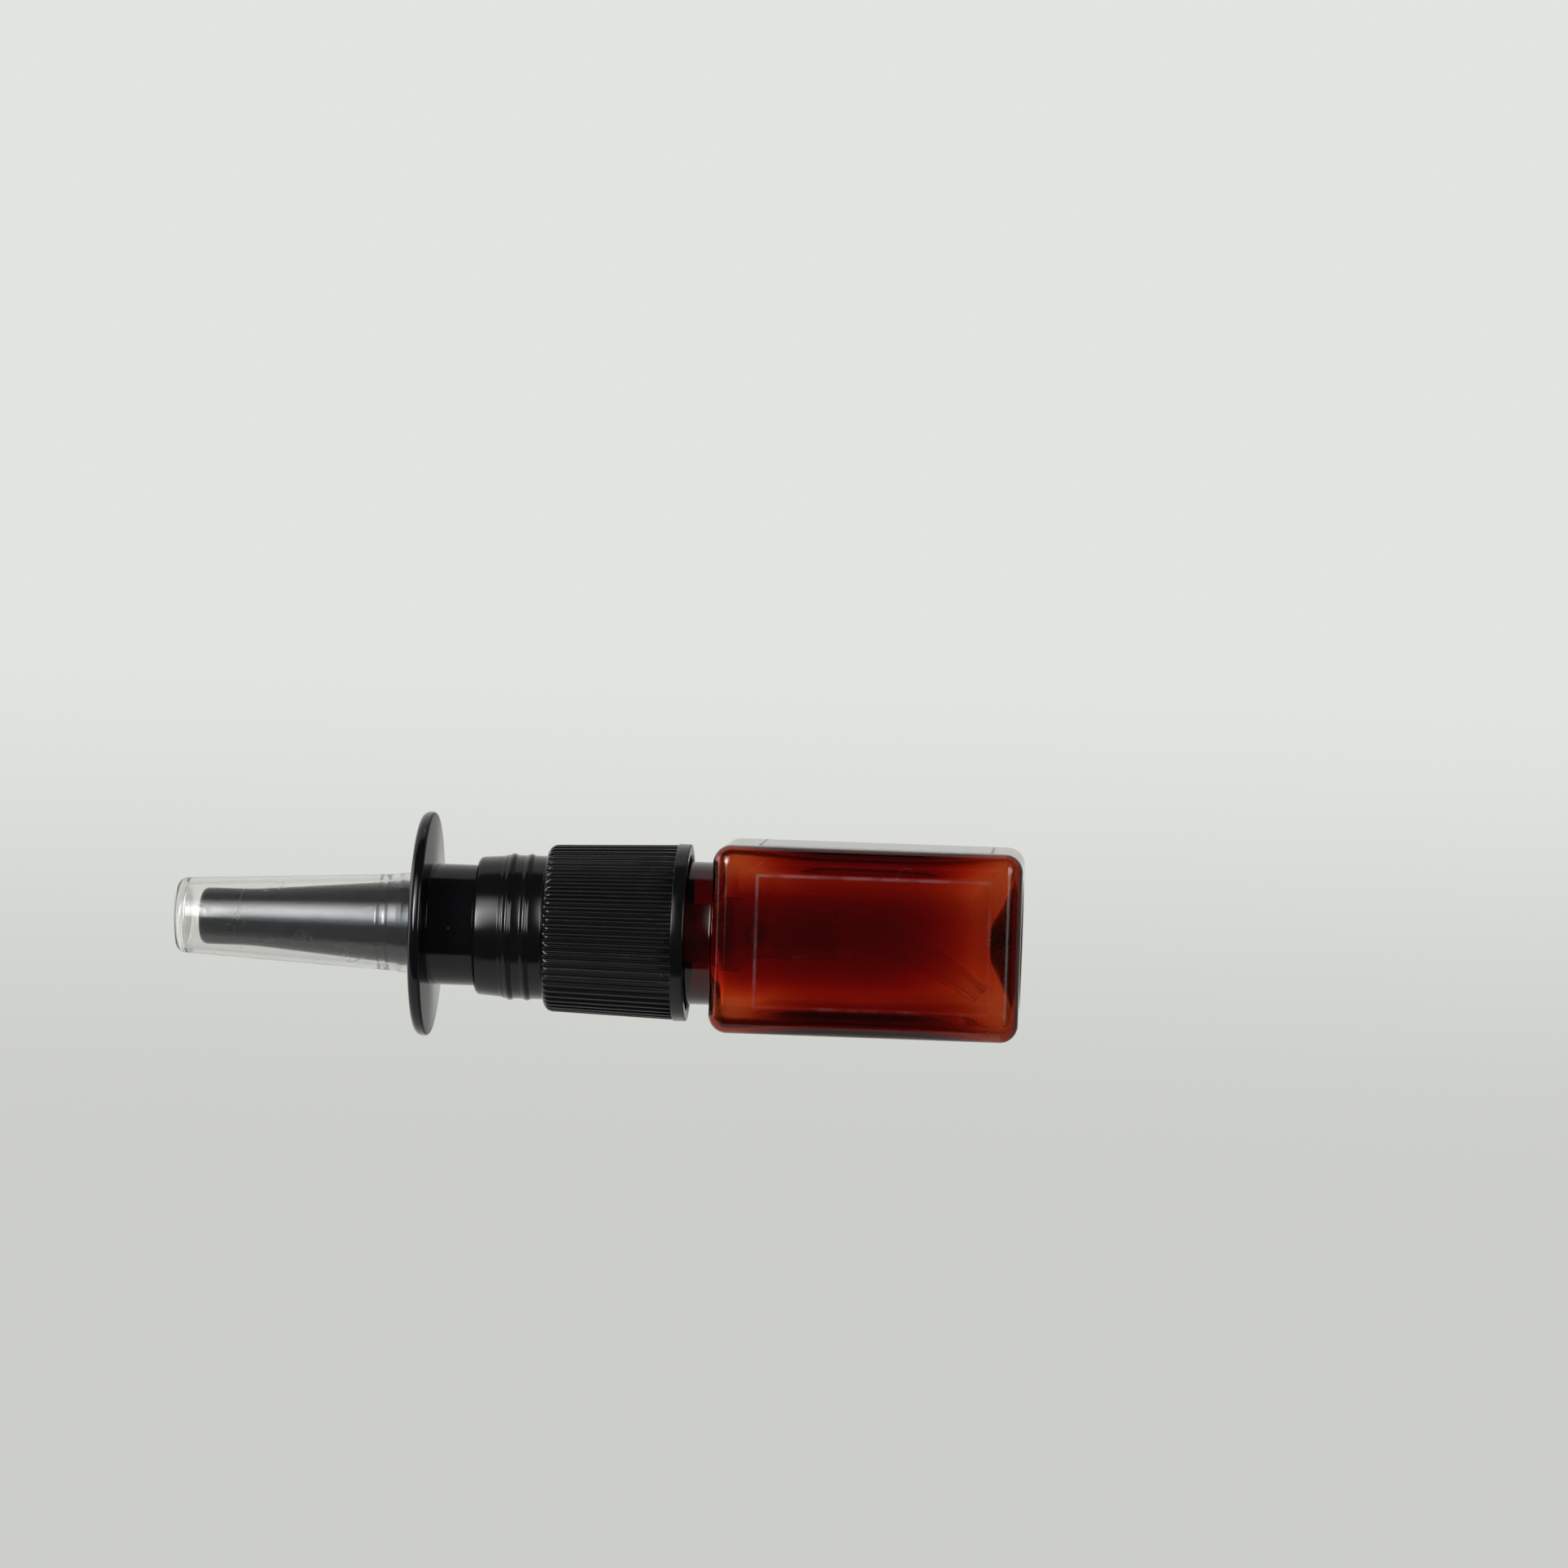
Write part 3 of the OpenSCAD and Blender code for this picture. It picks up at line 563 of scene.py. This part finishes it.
def closure_skin():
    """Ribbed closure with its turret, as one closed ring of rows. Rows in the rib zone take the smaller of
    the outline's radius and the radius of the round groove cutter, which leans with the draft."""

    def bead(middle):
        """One snap bead: half its rise times (1 + cosine of the height) is added to the turret's radius."""
        away = np.linspace(-1, 1, 21)
        return list(zip(TURRET_R + BEAD_RISE / 2 * (1 + np.cos(np.pi * away)), middle + BEAD_HALF * away))

    lower = rounded([(CLOSURE_BORE_R, 39.0), (CLOSURE_BORE_R, CLOSURE_LOW, 0.2), (BAND_R, CLOSURE_LOW, 0.15),
                     (BAND_R, RIBS_LOW, 0.12), (RIB_LOW_R - GROOVE_DEPTH, RIBS_LOW)], 4)[:-1]
    straight = np.stack([np.linspace(RIB_LOW_R, RIB_HIGH_R, 8),
                         np.linspace(RIBS_LOW, CLOSURE_TOP - CLOSURE_CORNER_R, 8)], 1)
    c, s = quarter_arc(16)
    corner = np.stack([RIB_HIGH_R - CLOSURE_CORNER_R * (1 - c), CLOSURE_TOP - CLOSURE_CORNER_R * (1 - s)], 1)
    ribbed = np.concatenate([straight, corner[1:]])
    upper = rounded([(RIB_HIGH_R - CLOSURE_CORNER_R, CLOSURE_TOP), (TURRET_R, CLOSURE_TOP, 0.15)]
                    + bead(CLOSURE_TOP + 2.0) + bead(CLOSURE_TOP + 4.0)
                    + [(TURRET_R, 59.6, 0.2), (TURRET_R - 0.13, 59.95, 0.3), (7.95, TURRET_TOP, 0.6),
                       (TURRET_BORE_R, TURRET_TOP, 0.15), (TURRET_BORE_R, 58.0)], 5)[1:]
    inside = rounded([(TURRET_BORE_R, 57.0), (TURRET_BORE_R, ROOF_LOW, 0.05), (FLANGE_SEAT_R, ROOF_LOW, 0.05),
                      (FLANGE_SEAT_R, FLANGE_SEAT_LOW, 0.05), (LIP_LAND_R, FLANGE_SEAT_LOW, 0.05),
                      (LIP_LAND_R, LIP_LAND_LOW, 0.05), (CLOSURE_BORE_R, LIP_LAND_LOW, 0.1),
                      (CLOSURE_BORE_R, 45.0)], 2)
    columns = RIB_COUNT * 12
    angle = np.linspace(0, 2 * np.pi, columns, endpoint=False)
    within = (angle * RIB_COUNT / (2 * np.pi) + 0.5) % 1 - 0.5
    across = within * (2 * np.pi / RIB_COUNT) * RIB_LOW_R
    outline, z = ribbed[:, :1], ribbed[:, 1:]
    cutter = RIB_LOW_R + GROOVE_R - GROOVE_DEPTH - (z - RIBS_LOW) * GROOVE_LEAN
    cutter = cutter - np.sqrt(np.maximum(GROOVE_R ** 2 - across ** 2, 0.0))
    radius = 0.5 * (outline + cutter - np.sqrt((outline - cutter) ** 2 + RIB_SOFTNESS ** 2))
    rib_rows = np.stack([radius * np.cos(angle), radius * np.sin(angle), z + 0 * angle], -1)
    return np.concatenate([turned(lower, columns), rib_rows, turned(upper, columns), turned(inside, columns)])


place("closure_skin", mesh_from_grid("closure_skin", closure_skin(), close_rows=True, sharp_deg=50),
      "closure", "black_closure", CLOSURE_BLACK, "screw_closure")
closure_ridge = thread_ridge(CLOSURE_BORE_R + 0.05, 8.42, 44.0, 1.6)
place("closure_thread", mesh_from_grid("closure_thread", closure_ridge),
      "closure", "black_closure", CLOSURE_BLACK)


# Actuator

def actuator_skin():
    """Skirt, finger flange and nozzle, turned from one profile with its cored inside. Under the flange two
    round ejector marks are pressed in: the height rises by a shallow smooth step inside each circle."""
    straight_low, blend, slope = 89.0, 1.733, 0.0877
    t = np.linspace(0, 1, 9)
    bend = np.stack([NOZZLE_R + slope * blend * (1 - t) ** 2, straight_low - blend + 2 * blend * t], 1)
    outside = rounded([(SKIRT_BORE_R, 63.0), (SKIRT_BORE_R, SKIRT_LOW, 0.15), (SKIRT_R, SKIRT_LOW, 0.2),
                       (SKIRT_R, FINGER_LOW, 0.06), (FINGER_R, FINGER_LOW, 0.35), (FINGER_R, FINGER_TOP, 0.9),
                       (4.94, FINGER_TOP, 0.15), (4.94, 71.6, 0.1), (4.8, 71.9, 0.1), tuple(bend[0])], 8)[:-1]
    tip = rounded([(NOZZLE_R, 93.0), (NOZZLE_R, NOZZLE_TOP, 0.9), (0.55, NOZZLE_TOP, 0.1), (0.2, 94.95, 0.05),
                   (0.2, SPRAY_CHAMBER_TOP), (1.5, SPRAY_CHAMBER_TOP), (1.5, STEM_TOP), (1.62, STEM_TOP),
                   (1.62, 61.2, 0.2), (2.8, 61.2, 0.2), (2.8, 75.8, 0.3), (3.7, 75.8, 0.3),
                   (3.7, FINGER_LOW, 0.2), (SKIRT_BORE_R, FINGER_LOW, 0.3), (SKIRT_BORE_R, 66.0)], 6)
    profile = np.concatenate([outside, bend, tip])
    under = (profile[:, 1] < FINGER_LOW + 0.01) & (profile[:, 0] > SKIRT_R + 0.1)
    first, last = np.flatnonzero(under)[[0, -1]]
    marked = refine(profile[first:last + 1], 0.14)
    profile = np.concatenate([profile[:first], marked, profile[last + 1:]])
    grid = turned(profile, 360)
    x, y, z = np.moveaxis(grid[first:first + len(marked)], -1, 0)
    away = np.hypot(np.abs(x) - 9.6, y)
    z += 0.05 * smooth_step(-away, -1.7, -1.3) * (z < FINGER_LOW + 0.01)
    return grid


place("actuator_skin", mesh_from_grid("actuator_skin", actuator_skin(), close_rows=True),
      "actuator", "black_gloss", GLOSS_BLACK, "actuator")


def swirl_rod():
    """Rod with three ribs: the radius is the rod's, raised to the rib's where the angle is within a rib."""
    rod_r, edge = 1.1, 0.15
    angle = np.linspace(0, 2 * np.pi, 180, endpoint=False)
    off = np.abs((angle + np.pi / 3) % (2 * np.pi / 3) - np.pi / 3)
    ribbed = rod_r + 0.38 * smooth_step((0.3 - off * 1.1) / 0.06 + 0.5, 0, 1)
    low, top = STEM_TOP + 1.5, 94.25
    shoulder = top - 1.0
    plain = np.full_like(angle, rod_r)
    rows = [(0 * angle, low), (ribbed - edge, low), (ribbed, low + edge), (ribbed, shoulder - edge),
            (np.maximum(ribbed - edge, rod_r), shoulder), (plain, shoulder), (plain, top - edge),
            (plain - edge, top), (0 * angle, top)]
    return np.stack([np.stack([r * np.cos(angle), r * np.sin(angle), z + 0 * angle], -1) for r, z in rows])


place("swirl_rod", mesh_from_grid("swirl_rod", swirl_rod()), "actuator", "white_plastic", WHITE, "swirl_core")


# Dust cap

def cap_skin():
    """Clear cap turned from one profile: flared rim, straight taper, rounded closed end, and inside it the
    grip land with two fine rings."""

    def ring(r, z):
        return [(r, z + 0.35, 0.3), (r - 0.03, z, 0.4), (r, z - 0.35, 0.3)]

    outside = rounded([(5.6, FINGER_TOP), (5.8, FINGER_TOP, 0.12), (5.8, 71.3, 0.5), (5.6, 72.9, 0.8),
                       (4.325, CAP_TOP, 1.0), (0, CAP_TOP)], 8)
    inside = rounded([(0, CAP_END_LOW), (3.675, CAP_END_LOW, 0.35), (4.87, 74.4, 0.4)]
                     + ring(4.89, 73.9) + ring(4.94, 72.9)
                     + [(5.0, 71.95, 0.05), (5.0, FINGER_TOP, 0.15), (5.3, FINGER_TOP)], 5)
    return np.concatenate([turned(outside, 160), turned(inside, 160)])


place("cap_skin", mesh_from_grid("cap_skin", cap_skin(), close_rows=True, sharp_deg=40),
      "cap", "clear_plastic", CLEAR, "dust_cap")


# Pump

def ring_piece(name, corners, body, slot, material, cad_node):
    """One turned piece whose profile closes on itself."""
    grid = turned(rounded(corners, 4), 96)
    place(name, mesh_from_grid(name, grid, close_rows=True), body, slot, material, cad_node)


ring_piece("housing_body", [
    (1.32, 25.0), (1.32, TAIL_LOW, 0.1), (2.2, TAIL_LOW, 0.25), (2.2, 31.25, 0.4), (3.4, 32.45, 0.4),
    (3.4, 46.25, 0.4), (5.12, 47.15, 0.3), (5.12, FLANGE_LOW, 0.2), (8.1, FLANGE_LOW, 0.1),
    (8.1, FLANGE_TOP, 0.15), (4.22, FLANGE_TOP, 0.1), (4.22, RING_LOW), (2.7, RING_LOW, 0.1),
    (2.7, SPRING_LOW, 0.15), (1.0, SPRING_LOW, 0.1), (1.0, 32.45), (1.5, 32.45), (1.5, 30.49),
    (0.75, 29.74), (0.75, SOCKET_TOP), (1.32, SOCKET_TOP), (1.32, 27.0)],
    "pump", "natural_plastic", NATURAL, "pump_housing")
ring_piece("gasket_ring", [
    (6.5, LIP_Z), (7.84, LIP_Z, 0.12), (7.84, FLANGE_LOW, 0.12), (5.42, FLANGE_LOW, 0.12),
    (5.42, LIP_Z, 0.12), (6.2, LIP_Z)],
    "pump", "gasket_foam", GASKET, "neck_gasket")
ring_piece("locking_collar", [
    (3.0, RING_LOW), (4.2, RING_LOW, 0.2), (4.2, FLANGE_TOP, 0.1), (3.4, FLANGE_TOP, 0.1),
    (3.0, 54.85, 0.15), (2.06, 54.85, 0.1), (1.66, 54.45), (1.66, RING_LOW, 0.15), (2.5, RING_LOW)],
    "pump", "white_plastic", WHITE, "locking_ring")
ring_piece("stem_tube", [
    (0, FOOT_LOW), (2.35, FOOT_LOW, 0.15), (2.35, FOOT_TOP, 0.05), (1.3, FOOT_TOP), (1.3, 47.0),
    (2.35, 47.0, 0.05), (2.35, 48.0, 0.15), (1.6, 48.0, 0.05), (1.6, STEM_TOP, 0.25),
    (0.7, STEM_TOP, 0.1), (0.7, FOOT_TOP), (0, FOOT_TOP)],
    "actuator", "white_plastic", WHITE, "stem")
ring_piece("piston_sleeve", [
    (2.0, 42.82), (2.64, 42.82, 0.08), (2.64, 43.66, 0.08), (1.98, 44.5, 0.3), (1.98, 45.3, 0.3),
    (2.64, 46.14, 0.08), (2.64, 46.98, 0.08), (1.32, 46.98, 0.08), (1.32, 42.82, 0.08), (1.6, 42.82)],
    "actuator", "natural_plastic", NATURAL, "piston")


def ball_skin():
    """Sphere as a turned half circle, poles on the axis."""
    angle = np.linspace(-np.pi / 2, np.pi / 2, 25)
    half = np.stack([BALL_R * np.cos(angle), BALL_Z + BALL_R * np.sin(angle)], 1)
    half[[0, -1], 0] = 0
    return turned(half, 48)


place("inlet_ball", mesh_from_grid("inlet_ball", ball_skin()), "ball", "ball_steel", BALL_STEEL, "check_ball")


def swept(path, across, up, radius, sides):
    """Round bar: at each path point a circle of the given radius spanned by two unit vectors."""
    angle = np.linspace(0, 2 * np.pi, sides, endpoint=False)
    return (path[:, None] + radius * np.cos(angle)[None, :, None] * across[:, None]
            + radius * np.sin(angle)[None, :, None] * up[:, None])


def spring_wire():
    """Return spring: a helix that closes up over its first and last turn. The height rises with a smooth
    share of the angle, and the wire ends are drawn together to a point."""
    wire_r, coil_r, turns, closed = 0.225, 2.175, 7.5, 0.46
    angle = np.linspace(0, turns * 2 * np.pi, int(turns * 40) + 1)
    at = angle / (2 * np.pi)
    low, high = SPRING_LOW + 0.28, FOOT_LOW - 0.28
    rise = (high - low - 2 * closed) / (turns - 2)
    z = np.interp(at, [0, 1, turns - 1, turns], [low, low + closed, high - closed, high])
    smooth = np.ones(21) / 21
    z[20:-20] = np.convolve(z, smooth, "same")[20:-20]
    path = np.stack([coil_r * np.cos(angle), coil_r * np.sin(angle), z], 1)
    lean = math.atan(rise / (2 * np.pi * coil_r))
    out = np.stack([np.cos(angle), np.sin(angle), 0 * angle], 1)
    up = np.stack([math.sin(lean) * np.sin(angle), -math.sin(lean) * np.cos(angle),
                   0 * angle + math.cos(lean)], 1)
    shrink = np.ones(len(angle))
    shrink[[0, -1]] = 0
    sides = swept(np.zeros_like(path), out, up, wire_r, 10)
    return (path[:, None] + sides * shrink[:, None, None])[:, ::-1]


spring = place("spring_wire", mesh_from_grid("spring_wire", spring_wire(), sharp_deg=60),
               "pump", "spring_steel", SPRING_STEEL, "return_spring")
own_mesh(spring)


def tube_skin():
    """Dip tube: straight in the housing's tail, then an arc towards -X. The inner wall runs down and the
    outer wall back up, so the rows close into one ring of rows."""
    drop, reach = TAIL_LOW - 4.6, 6.0
    bend = 2 * math.atan(reach / drop)
    bend_r = drop / math.sin(bend)
    turn = np.linspace(0, bend, 25)
    arc = np.stack([-bend_r * (1 - np.cos(turn)), 0 * turn, TAIL_LOW - bend_r * np.sin(turn)], 1)
    straight = np.array([[0, 0, SOCKET_TOP - 0.05], [0, 0, 25.0]])
    path = np.concatenate([straight, arc])
    lean = np.concatenate([[0, 0], turn])
    across = np.stack([np.cos(lean), 0 * lean, -np.sin(lean)], 1)
    side = np.stack([0 * lean, np.ones_like(lean), 0 * lean], 1)
    outer = swept(path, across, side, 1.3, 40)
    inner = swept(path, across, side, 0.8, 40)
    return np.concatenate([inner, outer[::-1]])


place("tube_skin", mesh_from_grid("tube_skin", tube_skin(), close_rows=True),
      "pump", "tube_plastic", TUBE, "dip_tube")


# Stage: a pale floor that fades out, a pale surround with a painted shade towards -X, and soft lamps

FADE_NEAR, FADE_FAR = 0.12, 0.42
FLOOR_Z = -0.02
PALE = (0.72, 0.735, 0.7)
LAMP_AIM = Vector((0, 0, 0.05))


def floor_material():
    """Pale floor, seen from above only, that fades into the surround with its distance from the middle."""
    material, tree, shader, where = start_material("pale_floor")
    feed(tree, shader, {"Base Color": (*PALE, 1), "Roughness": 0.9})
    away = node(tree, "ShaderNodeVectorMath", {0: where}, operation="LENGTH").outputs["Value"]
    gone = ramp_between(tree, away, FADE_NEAR, FADE_FAR)
    from_below = node(tree, "ShaderNodeNewGeometry").outputs["Backfacing"]
    clear = node(tree, "ShaderNodeBsdfTransparent").outputs[0]
    fade = maths(tree, "MAXIMUM", gone, from_below)
    mix = node(tree, "ShaderNodeMixShader", {0: fade, 1: shader.outputs[0], 2: clear})
    feed(tree, tree.nodes["Material Output"], {"Surface": mix.outputs[0]})
    return material


def make_floor():
    """Flat disc of rings just under the base."""
    far = FADE_FAR / MM
    disc = np.array([[far * 1.1, FLOOR_Z], [far / 2, FLOOR_Z], [0, FLOOR_Z]])
    mesh = mesh_from_grid("floor", turned(disc, 64))
    mesh.materials.append(floor_material())
    floor = bpy.data.objects.new("floor", mesh)
    bpy.context.scene.collection.objects.link(floor)
    floor.visible_glossy = False


def make_surround():
    """World: pale to the camera and straight through clear plastic, darker towards -X by a painted shade. To
    reflections and soft light it is pale behind the object, less than half as pale below it and dim on the
    camera's side, with a low and a high soft spot. A spot is its direction, its half-angle, the heights
    between which it fades in, and its brightness."""
    spots = (((0.33, -0.84, -0.52), 0.45, 0.34, 0.44, 4.0), ((0.25, -0.86, 0.45), 0.33, 0.36, 0.44, 11.0))
    world = bpy.data.worlds.new("surround")
    bpy.context.scene.world = world
    world.use_nodes = True
    tree = world.node_tree
    back = tree.nodes["Background"]
    direction = node(tree, "ShaderNodeTexCoord").outputs["Generated"]
    x, y, z = node(tree, "ShaderNodeSeparateXYZ", {0: direction}).outputs
    # Painted shade: what the camera sees of the surround, also through clear plastic, darkens towards -X.
    backdrop_painted_shade = mixed_colour(tree, ramp_between(tree, x, -0.1, -0.01), (0.61, 0.62, 0.59), (0.765, 0.78, 0.755))
    feed(tree, back, {"Color": backdrop_painted_shade, "Strength": 1.0})
    aside = maths(tree, "MULTIPLY", maths(tree, "MINIMUM", x, 0.0), -0.9)
    behind = ramp_between(tree, maths(tree, "ADD", y, aside), 0.14, 0.26)
    above = maths(tree, "MULTIPLY", ramp_between(tree, z, -0.12, -0.03), 0.6)
    share = maths(tree, "MULTIPLY", behind, maths(tree, "ADD", above, 0.4))
    far = mixed_colour(tree, ramp_between(tree, y, 0.5, 0.95), (0.44, 0.45, 0.43), (0.66, 0.675, 0.645))
    lit = mixed_colour(tree, share, (0.03, 0.031, 0.033), far)
    for spot, wide, faint, full, level in spots:
        aim = Vector(spot).normalized()
        toward = node(tree, "ShaderNodeVectorMath", {0: direction, 1: aim}, operation="DOT_PRODUCT")
        disc = ramp_between(tree, toward.outputs["Value"], math.cos(wide), math.cos(wide - 0.2))
        off_level = maths(tree, "MULTIPLY", z, math.copysign(1.0, spot[2]))
        within = maths(tree, "MULTIPLY", disc, ramp_between(tree, off_level, faint, full))
        lit = mixed_colour(tree, within, lit, (level, level, level))
    soft = node(tree, "ShaderNodeBackground", {"Color": lit, "Strength": 1.0})
    ray = node(tree, "ShaderNodeLightPath").outputs
    unturned = maths(tree, "LESS_THAN", ray["Glossy Depth"], 0.5)
    deep = maths(tree, "GREATER_THAN", ray["Transmission Depth"], 5.5)
    straight_on = maths(tree, "MAXIMUM", unturned, deep)
    through = maths(tree, "MULTIPLY", ray["Is Transmission Ray"], straight_on)
    seen = maths(tree, "MAXIMUM", ray["Is Camera Ray"], through)
    mix = node(tree, "ShaderNodeMixShader", {0: seen, 1: soft.outputs[0], 2: back.outputs[0]})
    feed(tree, tree.nodes["World Output"], {"Surface": mix.outputs[0]})


def softbox(name, toward, distance, width, height, watts, tint=(1, 1, 1), mirrored=True):
    """Area lamp that stands off in one direction from the object and faces it. Its cloth is brightest in the
    middle and fades to nothing at the edges. A fill that isn't mirrored lights matt surfaces only."""
    lamp = bpy.data.lights.new(name, "AREA")
    lamp.shape = "RECTANGLE"
    lamp.size, lamp.size_y, lamp.energy, lamp.color = width, height, watts, tint
    lamp.use_nodes = True
    tree = lamp.node_tree
    on_cloth = node(tree, "ShaderNodeNewGeometry").outputs["Parametric"]
    across = node(tree, "ShaderNodeSeparateXYZ", {0: on_cloth}).outputs

    def from_edge(along):
        """0 at both edges of the cloth and 0.5 in its middle."""
        off_middle = maths(tree, "ABSOLUTE", maths(tree, "SUBTRACT", along, 0.5))
        return maths(tree, "SUBTRACT", 0.5, off_middle)

    cloth = maths(tree, "MULTIPLY", ramp_between(tree, from_edge(across[0]), 0.0, 0.5),
                  ramp_between(tree, from_edge(across[1]), 0.0, 0.35))
    feed(tree, tree.nodes["Emission"], {"Strength": cloth})
    made = bpy.data.objects.new(name, lamp)
    aim = Vector(toward).normalized()
    made.location = LAMP_AIM + aim * distance
    made.rotation_euler = aim.to_track_quat("Z", "Y").to_euler()
    made.visible_glossy = mirrored
    bpy.context.scene.collection.objects.link(made)


def make_camera():
    """Camera square on the photographed side: it stands off from the axis by a small lean towards the base
    and a small turn about the axis, and is rolled so that the axis lies across the picture. Its focal length
    is in pixels, and scale is pixels per millimetre at the axis."""
    pixels, focal, scale, sensor = 1932, 7250.0, 10.67, 36
    lean, turn, slope = math.radians(3.1), math.radians(2.15), math.atan(0.0345)
    back = Vector((math.sin(turn) * math.cos(lean), -math.cos(turn) * math.cos(lean), -math.sin(lean)))
    down_axis = (Vector((0, 0, -1)) + back * back.z).normalized()
    side = back.cross(down_axis)
    right = down_axis * math.cos(slope) + side * math.sin(slope)
    up = side * math.cos(slope) - down_axis * math.sin(slope)
    distance = focal / scale * MM
    on_axis = Vector((0, 0, 27.42 * MM))
    below_middle = 187.6 / focal
    data = bpy.data.cameras.new("camera")
    data.lens = focal / pixels * sensor
    data.sensor_width = sensor
    data.clip_start, data.clip_end = 0.01, 50
    camera = bpy.data.objects.new("camera", data)
    camera.matrix_world = Matrix((right, up, back)).transposed().to_4x4()
    camera.location = on_axis + back * distance + up * (below_middle * distance)
    bpy.context.scene.collection.objects.link(camera)
    bpy.context.scene.camera = camera


make_floor()
make_surround()
softbox("key_softbox", (0.46, -0.83, 0.49), 0.95, 1.0, 0.72, 11.0)
softbox("top_softbox", (0.2, 0.1, 1.0), 0.9, 0.9, 0.9, 6.0)
softbox("front_fill", (0.25, -0.95, 0.25), 1.0, 1.0, 1.0, 9.0, tint=(0.8, 0.92, 1.0), mirrored=False)
make_camera()
bpy.context.scene.view_settings.view_transform = "Standard"
